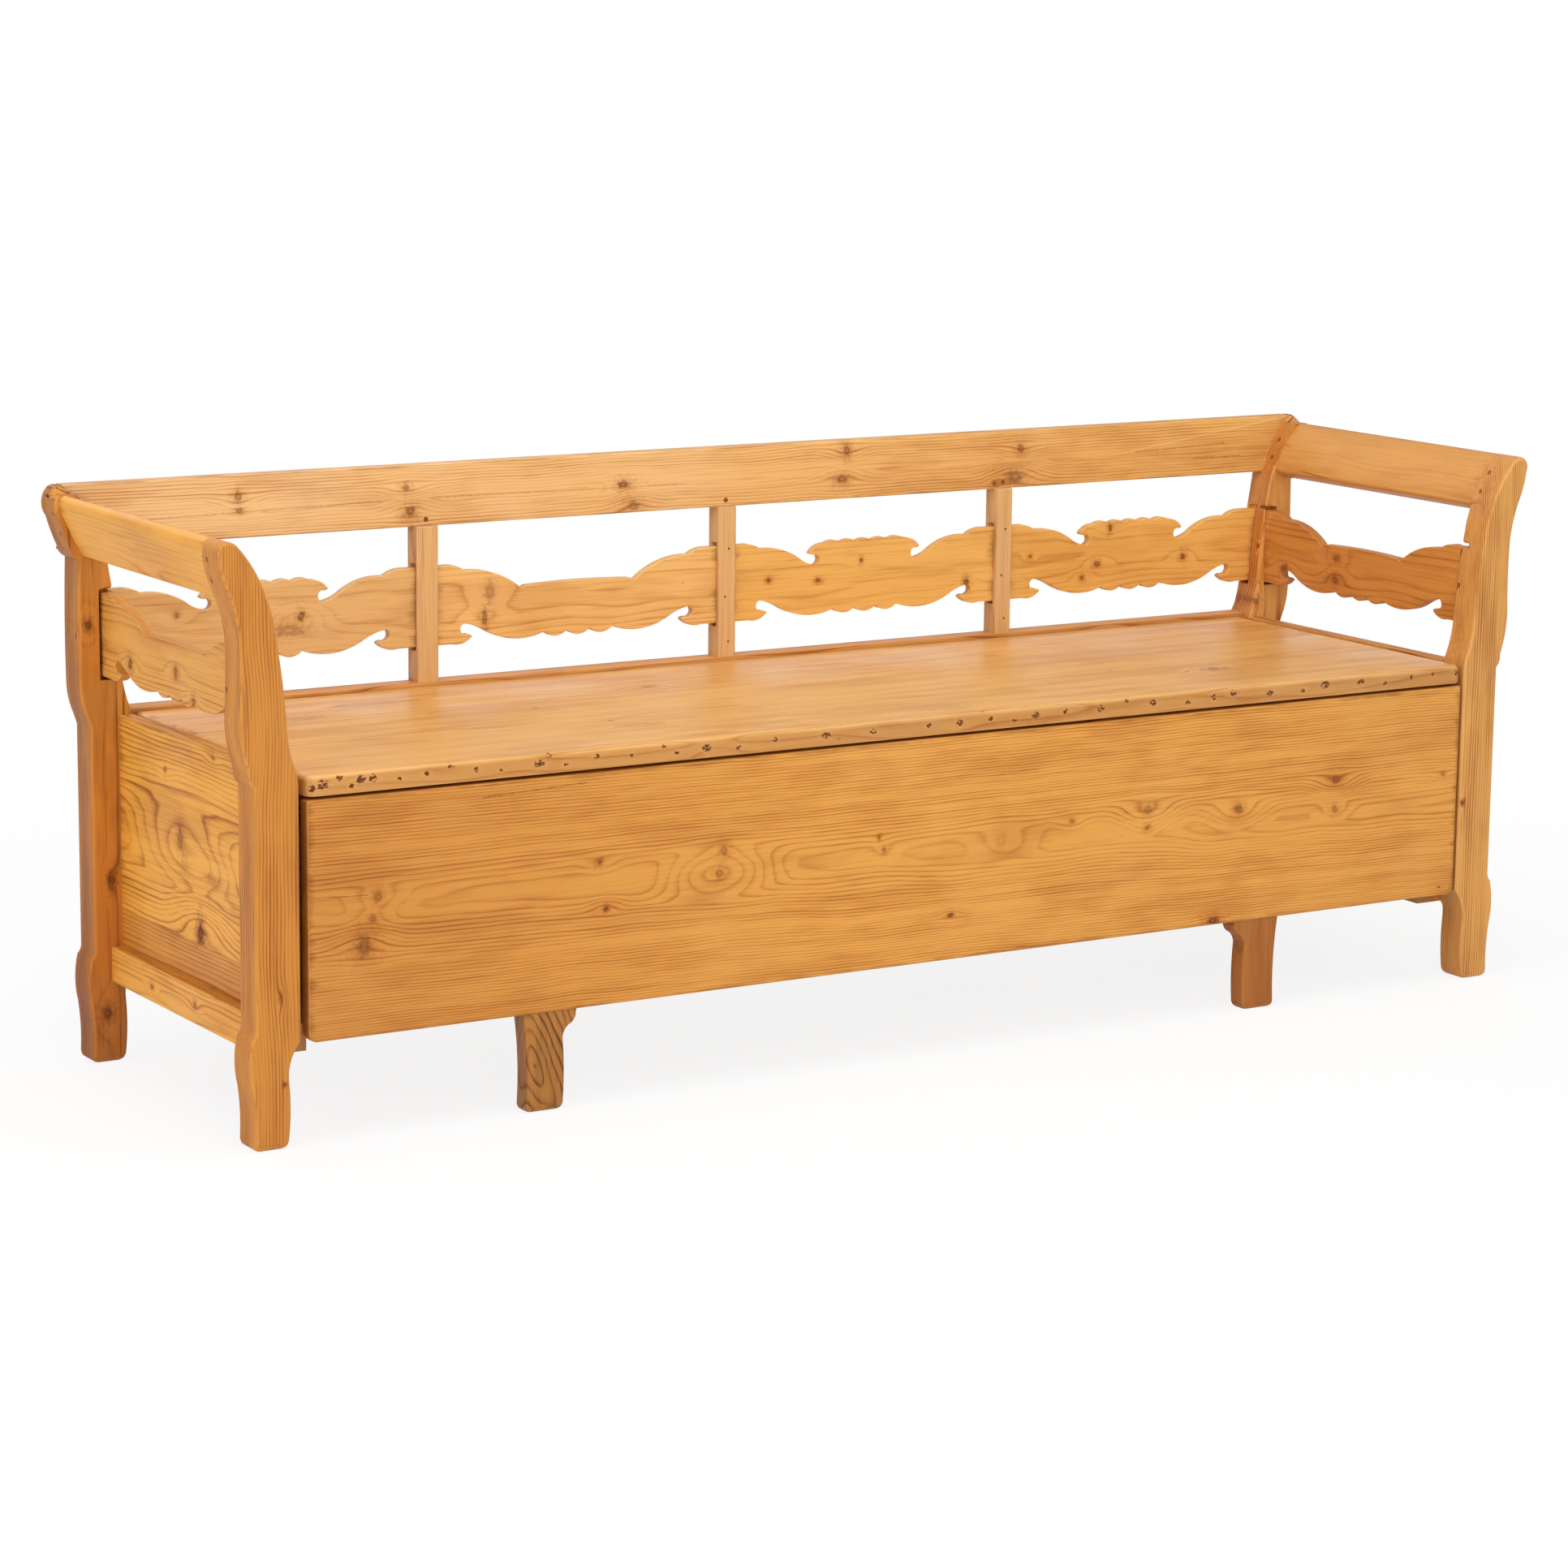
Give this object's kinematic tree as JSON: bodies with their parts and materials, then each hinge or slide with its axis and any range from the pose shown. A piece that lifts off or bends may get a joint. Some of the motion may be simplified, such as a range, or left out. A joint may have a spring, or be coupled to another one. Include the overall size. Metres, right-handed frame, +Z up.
{
  "type": "pull-out bench bed",
  "caption": "Long wooden settle with slatted back of fretted boards, loose seat lid and a seat box whose front slides out on two legs to make a bed.",
  "frame": {"origin": "on the floor under the middle of the bench", "axes": "+X along the bench, to the right when looking at its front; +Y from the front to the back; +Z up"},
  "size_m": [2.0894, 0.566, 0.786],
  "materials": {
    "pine_frame": "waxed old pine, honey brown, worn arrises",
    "pine_front": "waxed old pine with large dark knots",
    "pine_seat": "rubbed paler by use, satin",
    "pine_inner": "bare dusty softwood",
    "peg_wood": "dark end grain of whittled pegs",
    "iron_nail": "rusted hand-made nails"
  },
  "bodies": {
    "frame": {"arm_rail_pegs": "peg_wood", "arm_splat_pegs": "peg_wood", "back_bottom_rail": "pine_frame", "back_left_post": "pine_frame", "back_lid_cleat": "pine_inner", "back_lower_board": "pine_frame", "back_right_post": "pine_frame", "back_seat_rail": "pine_frame", "back_splat_1": "pine_frame", "back_splat_2": "pine_frame", "back_splat_3": "pine_frame", "back_splat_4": "pine_frame", "back_top_rail": "pine_frame", "back_upper_board": "pine_frame", "fixed_slats": "pine_inner", "front_cross_rail": "pine_inner", "front_left_post": "pine_frame", "front_right_post": "pine_frame", "lath_nails": "iron_nail", "left_arm_rail": "pine_frame", "left_arm_splat": "pine_frame", "left_end_lower_board": "pine_frame", "left_end_rail": "pine_frame", "left_end_upper_board": "pine_frame", "left_lid_cleat": "pine_inner", "left_runner": "pine_inner", "left_stile": "pine_frame", "middle_stile": "pine_frame", "middle_stile_lath": "pine_frame", "right_arm_rail": "pine_frame", "right_arm_splat": "pine_frame", "right_end_lower_board": "pine_frame", "right_end_rail": "pine_frame", "right_end_upper_board": "pine_frame", "right_lid_cleat": "pine_inner", "right_runner": "pine_inner", "right_stile": "pine_frame", "right_stile_lath": "pine_frame", "slat_cleat": "pine_inner", "stile_pegs": "peg_wood"},
    "drawer": {"drawer_front": "pine_front", "drawer_front_cleat": "pine_inner", "left_drawer_leg": "pine_front", "left_drawer_side": "pine_inner", "moving_slats": "pine_inner", "rear_batten": "pine_inner", "right_drawer_leg": "pine_front", "right_drawer_side": "pine_inner"},
    "lid": {"lid_back_board": "pine_seat", "lid_batten_left": "pine_inner", "lid_batten_middle": "pine_inner", "lid_batten_right": "pine_inner", "lid_front_board": "pine_seat"}
  },
  "joints": [
    {"name": "drawer_slide", "type": "slide", "parent": "frame", "child": "drawer", "axis": [0, -1, 0], "range_m": [0, 0.368]},
    {"name": "lid_lift", "type": "slide", "parent": "frame", "child": "lid", "axis": [0, 0, 1], "range_m": [0, 0.35]}
  ]
}
